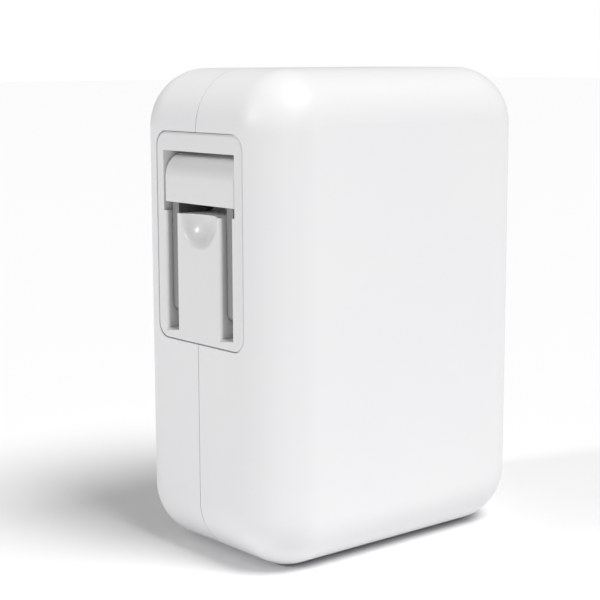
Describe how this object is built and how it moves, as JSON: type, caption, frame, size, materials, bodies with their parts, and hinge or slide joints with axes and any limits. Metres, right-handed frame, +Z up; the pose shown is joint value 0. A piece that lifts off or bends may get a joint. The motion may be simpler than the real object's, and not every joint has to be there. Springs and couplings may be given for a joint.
{
  "type": "usb wall charger",
  "caption": "Rounded upright wall charger whose two flat mains blades fold down flush into a well in one narrow side, with stacked charging ports on the opposite side.",
  "frame": {"origin": "middle of the flat bottom it stands on", "axes": "+Z up as it stands, -X out of the side with the folding plug, +X out of the side with the ports, -Y out of the large plain front face"},
  "size_m": [0.05, 0.033, 0.07],
  "materials": {
    "housing": "polished white moulded plastic, faint handling marks",
    "plug_plastic": "white moulded plastic, slightly less polished",
    "blade_metal": "nickel-plated brass blades, fine draw lines",
    "spring_metal": "phosphor bronze strip",
    "wire_black": "PVC insulation",
    "wire_white": "PVC insulation",
    "port_plastic": "fine-textured pale plastic",
    "port_steel": "nickel-plated steel case",
    "port_insulator": "black moulded insulator",
    "contact_gold": "gold-flashed contacts",
    "board_green": "solder-masked glass laminate",
    "chip_black": "moulded epoxy",
    "sheet_film": "clear-tan polyester film",
    "ferrite": "sintered ferrite",
    "bobbin_plastic": "black phenolic",
    "coil_tape": "yellow polyester tape over the winding",
    "coil_wire": "enamelled copper wire",
    "capacitor_sleeve": "dark shrink sleeve",
    "capacitor_can": "bare aluminium can",
    "film_yellow": "yellow box film capacitor",
    "disc_blue": "blue dipped ceramic disc",
    "fuse_ceramic": "ceramic tube with end caps",
    "heatsink_metal": "mill-finish aluminium"
  },
  "bodies": {
    "housing": {"front_shell": "housing", "back_shell": "housing", "plug_frame": "plug_plastic", "contact_spring_live": "spring_metal", "contact_spring_neutral": "spring_metal", "lead_live": "wire_black", "lead_neutral": "wire_white", "port_plate": "port_plastic", "usb_shell_1": "port_steel", "usb_shell_2": "port_steel", "usb_shell_3": "port_steel", "usb_shell_4": "port_steel", "usb_tongue_1": "port_insulator", "usb_tongue_2": "port_insulator", "usb_tongue_3": "port_insulator", "usb_tongue_4": "port_insulator", "usb_contacts_1": "contact_gold", "usb_contacts_2": "contact_gold", "usb_contacts_3": "contact_gold", "usb_contacts_4": "contact_gold", "port_board": "board_green", "charge_chip_1": "chip_black", "charge_chip_2": "chip_black", "main_board": "board_green", "insulation_sheet": "sheet_film", "transformer_core": "ferrite", "transformer_bobbin": "bobbin_plastic", "transformer_winding": "coil_tape", "bulk_capacitor_1": "capacitor_sleeve", "bulk_capacitor_2": "capacitor_sleeve", "output_capacitor_1": "capacitor_can", "output_capacitor_2": "capacitor_can", "choke_core": "ferrite", "choke_winding": "coil_wire", "filter_capacitor": "film_yellow", "safety_capacitor": "disc_blue", "fuse": "fuse_ceramic", "bridge_rectifier": "chip_black", "power_switch": "chip_black", "switch_heatsink": "heatsink_metal", "output_rectifier": "chip_black", "rectifier_heatsink": "heatsink_metal", "optocoupler": "chip_black", "control_chip": "chip_black"},
    "plug": {"blade_holder": "plug_plastic", "blade_live": "blade_metal", "blade_neutral": "blade_metal"}
  },
  "joints": [
    {"name": "plug_hinge", "type": "hinge", "parent": "housing", "child": "plug", "pos_m": [-0.0214, 0, 0.0547], "axis": [0, 1, 0], "range_deg": [0, 90]}
  ]
}
